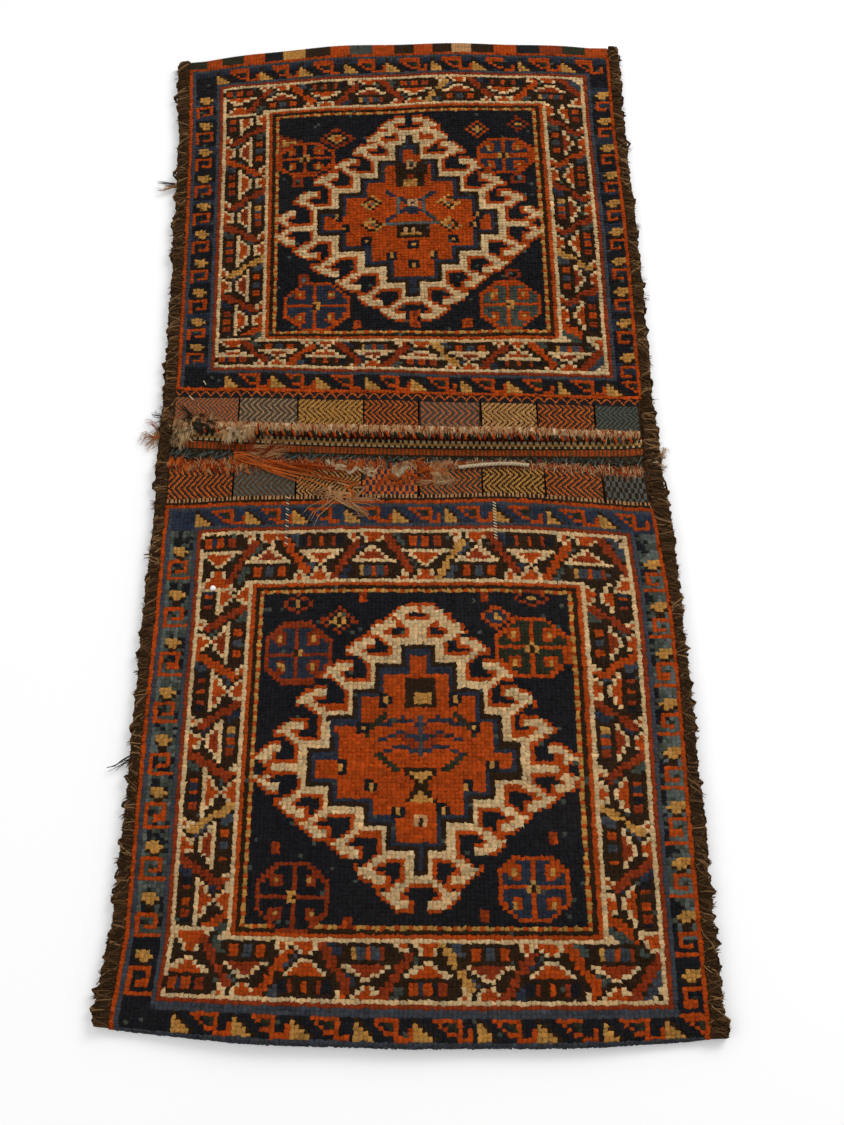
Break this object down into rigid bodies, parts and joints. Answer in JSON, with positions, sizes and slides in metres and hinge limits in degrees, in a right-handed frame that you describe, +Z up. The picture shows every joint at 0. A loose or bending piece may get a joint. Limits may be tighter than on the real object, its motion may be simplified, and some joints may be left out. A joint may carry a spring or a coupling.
{
  "type": "kilim saddle bag",
  "caption": "Double saddle bag folded from one woven strip: knotted pile pouch faces with hooked medallions, flatwoven back, slit mouths and goat-hair side bindings.",
  "frame": {"origin": "middle of the bag's outer box, on the surface that it lies on", "axes": "+X to the right across the strip, +Y along the strip towards the far pouch, +Z up out of the pouch faces"},
  "size_m": [0.5744, 1.1792, 0.0246],
  "materials": {
    "pile_and_kilim_wool": "knotted and flatwoven wool, matt with a low sheen",
    "goat_hair": "overcast dark goat hair, coarse and tufted",
    "tan_wool": "overcast tan wool, worn",
    "rust_wool": "overcast rust wool, frayed",
    "loop_wool": "braided wool loops",
    "ivory_wool": "undyed wool, fuzzy",
    "orange_wool": "dyed wool yarn, frayed"
  },
  "bodies": {
    "root": {"woven_strip": "pile_and_kilim_wool", "left_side_binding": "goat_hair", "right_side_binding": "goat_hair", "far_mouth_edging": "tan_wool", "near_mouth_edging": "rust_wool", "closing_loop_braid": "loop_wool", "ivory_tuft": "ivory_wool", "pink_tuft": "tan_wool", "near_orange_tuft": "orange_wool", "warp_fringe": "ivory_wool", "orange_tangle": "orange_wool", "wool_ball": "tan_wool", "green_side_loop": "loop_wool", "orange_side_tail": "orange_wool", "ivory_side_tuft": "ivory_wool", "cream_cord": "ivory_wool", "loose_orange_yarn": "orange_wool"}
  },
  "joints": []
}
